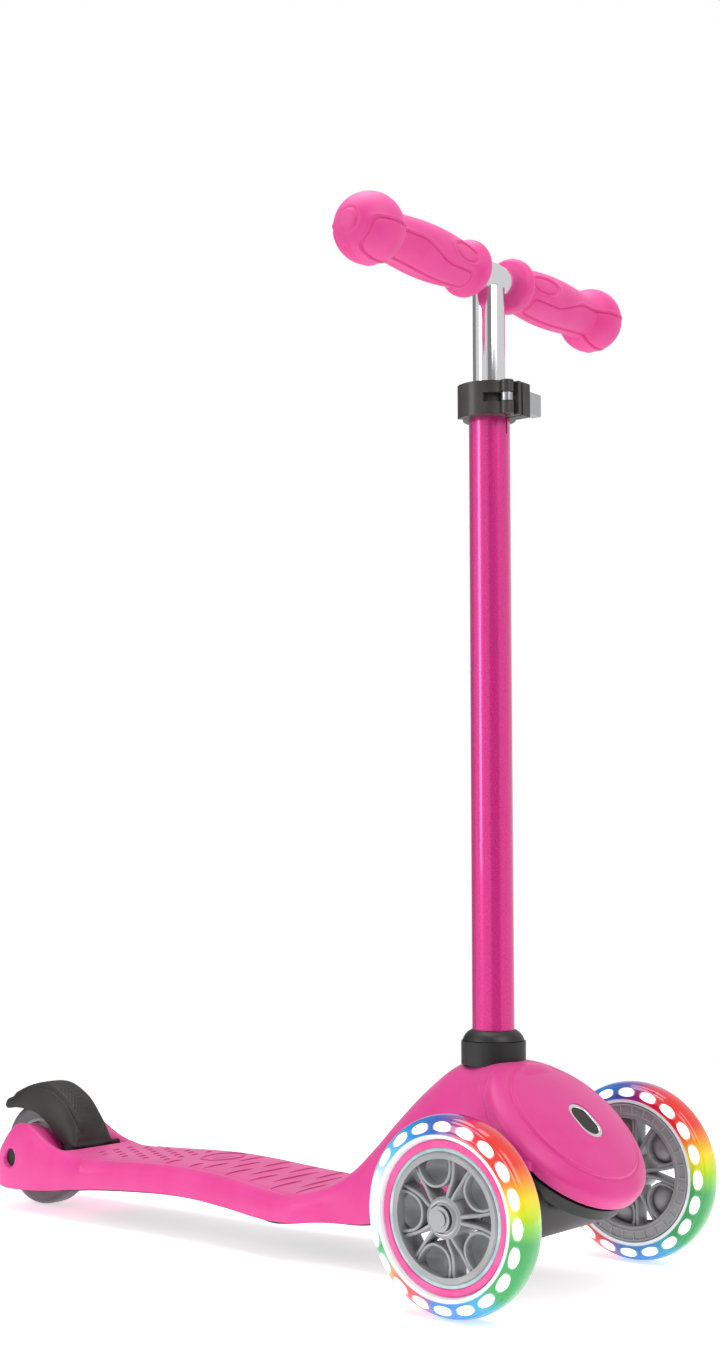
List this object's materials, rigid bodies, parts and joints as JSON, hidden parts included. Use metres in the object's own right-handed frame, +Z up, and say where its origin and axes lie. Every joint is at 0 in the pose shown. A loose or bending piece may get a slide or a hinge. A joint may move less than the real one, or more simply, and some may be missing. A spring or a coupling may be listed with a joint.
{
  "type": "kick scooter",
  "caption": "Child's lean-to-steer kick scooter with two front wheels, a waisted footboard, a telescopic T handlebar with ball-end grips and a rear foot brake.",
  "frame": {"origin": "bottom centre of the scooter's bounding box, on the ground between the wheels", "axes": "+Z up; the scooter faces -Y; its right-hand side is -X"},
  "size_m": [0.31, 0.58, 0.694],
  "materials": {
    "pink_moulding": "satin moulded polypropylene",
    "pink_grip": "soft-touch elastomer",
    "pink_anodised": "gloss metallic lacquer",
    "pink_trim": "gloss moulded plastic",
    "black_moulding": "fine matt moulded nylon",
    "dark_grey_moulding": "satin moulded nylon",
    "grey_hub": "satin grey moulded nylon",
    "natural_nylon": "satin",
    "chrome_tube": "polished chrome plate",
    "aluminium": "brushed",
    "zinc_steel": "zinc-plated steel",
    "spring_steel": "drawn wire",
    "clear_tyre": "clear cast polyurethane over coloured lights",
    "clear_carrier": "clear moulded polycarbonate",
    "grey_tyre": "satin cast polyurethane"
  },
  "bodies": {
    "frame": {"deck": "pink_moulding", "deck_underframe": "black_moulding", "deck_screws": "zinc_steel", "kingpin": "zinc_steel", "kingpin_nut": "zinc_steel", "lock_spring": "spring_steel", "steering_springs": "spring_steel", "button_bezel": "chrome_tube", "column_collar": "black_moulding", "collar_cap": "black_moulding", "lower_tube": "pink_anodised", "guide_bush": "natural_nylon", "clamp_collar": "dark_grey_moulding", "clamp_bolt": "zinc_steel", "clamp_nut": "aluminium", "rear_axle": "zinc_steel", "rear_axle_nut": "zinc_steel", "axle_washers": "zinc_steel", "brake_pin": "zinc_steel", "brake_spring": "spring_steel"},
    "handlebar": {"stem_tube": "chrome_tube", "stem_plug": "natural_nylon", "crossbar": "chrome_tube", "left_grip": "pink_grip", "right_grip": "pink_grip"},
    "clamp_lever": {"clamp_lever": "dark_grey_moulding", "lever_pin": "zinc_steel"},
    "truck": {"front_truck": "black_moulding", "steering_bushes": "natural_nylon", "left_axle_bolt": "zinc_steel", "right_axle_bolt": "zinc_steel"},
    "left_wheel": {"left_hub": "grey_hub", "left_tyre": "clear_tyre", "left_light_ring": "clear_carrier", "left_trim_ring": "pink_trim", "left_bearings": "zinc_steel", "left_spacer": "aluminium"},
    "right_wheel": {"right_hub": "grey_hub", "right_tyre": "clear_tyre", "right_light_ring": "clear_carrier", "right_trim_ring": "pink_trim", "right_bearings": "zinc_steel", "right_spacer": "aluminium"},
    "rear_wheel": {"rear_hub": "grey_hub", "rear_tyre": "grey_tyre", "rear_bearings": "zinc_steel", "rear_spacer": "aluminium"},
    "brake": {"brake_pedal": "dark_grey_moulding", "brake_plate": "zinc_steel"},
    "lock_button": {"lock_button": "dark_grey_moulding"}
  },
  "joints": [
    {"name": "bar_height", "type": "slide", "parent": "frame", "child": "handlebar", "axis": [0, 0, 1], "range_m": [0, 0.1]},
    {"name": "clamp_lever_swing", "type": "hinge", "parent": "frame", "child": "clamp_lever", "pos_m": [-0.01, -0.2075, 0.5821], "axis": [0, 0, 1], "range_deg": [0, 140]},
    {"name": "steer_lean", "type": "hinge", "parent": "frame", "child": "truck", "pos_m": [0, -0.2421, 0.0992], "axis": [0, -0.6782, 0.7349], "range_deg": [-12, 12], "stiffness_Nm_per_rad": 45, "deforming": ["steering_springs"]},
    {"name": "left_wheel_spin", "type": "hinge", "parent": "truck", "child": "left_wheel", "pos_m": [0.1068, -0.23, 0.06], "axis": [1, 0, 0], "continuous": true},
    {"name": "right_wheel_spin", "type": "hinge", "parent": "truck", "child": "right_wheel", "pos_m": [-0.1068, -0.23, 0.06], "axis": [1, 0, 0], "continuous": true},
    {"name": "rear_wheel_spin", "type": "hinge", "parent": "frame", "child": "rear_wheel", "pos_m": [0, 0.246, 0.04], "axis": [1, 0, 0], "continuous": true},
    {"name": "brake_press", "type": "hinge", "parent": "frame", "child": "brake", "pos_m": [0, 0.198, 0.049], "axis": [-1, 0, 0], "range_deg": [0, 3.4], "stiffness_Nm_per_rad": 8, "springref_deg": -3.44, "deforming": ["brake_spring"]},
    {"name": "steering_lock", "type": "slide", "parent": "frame", "child": "lock_button", "axis": [0, 0.6782, -0.7349], "range_m": [0, 0.004], "stiffness_N_per_m": 1500, "springref_m": -0.001, "deforming": ["lock_spring"]}
  ]
}
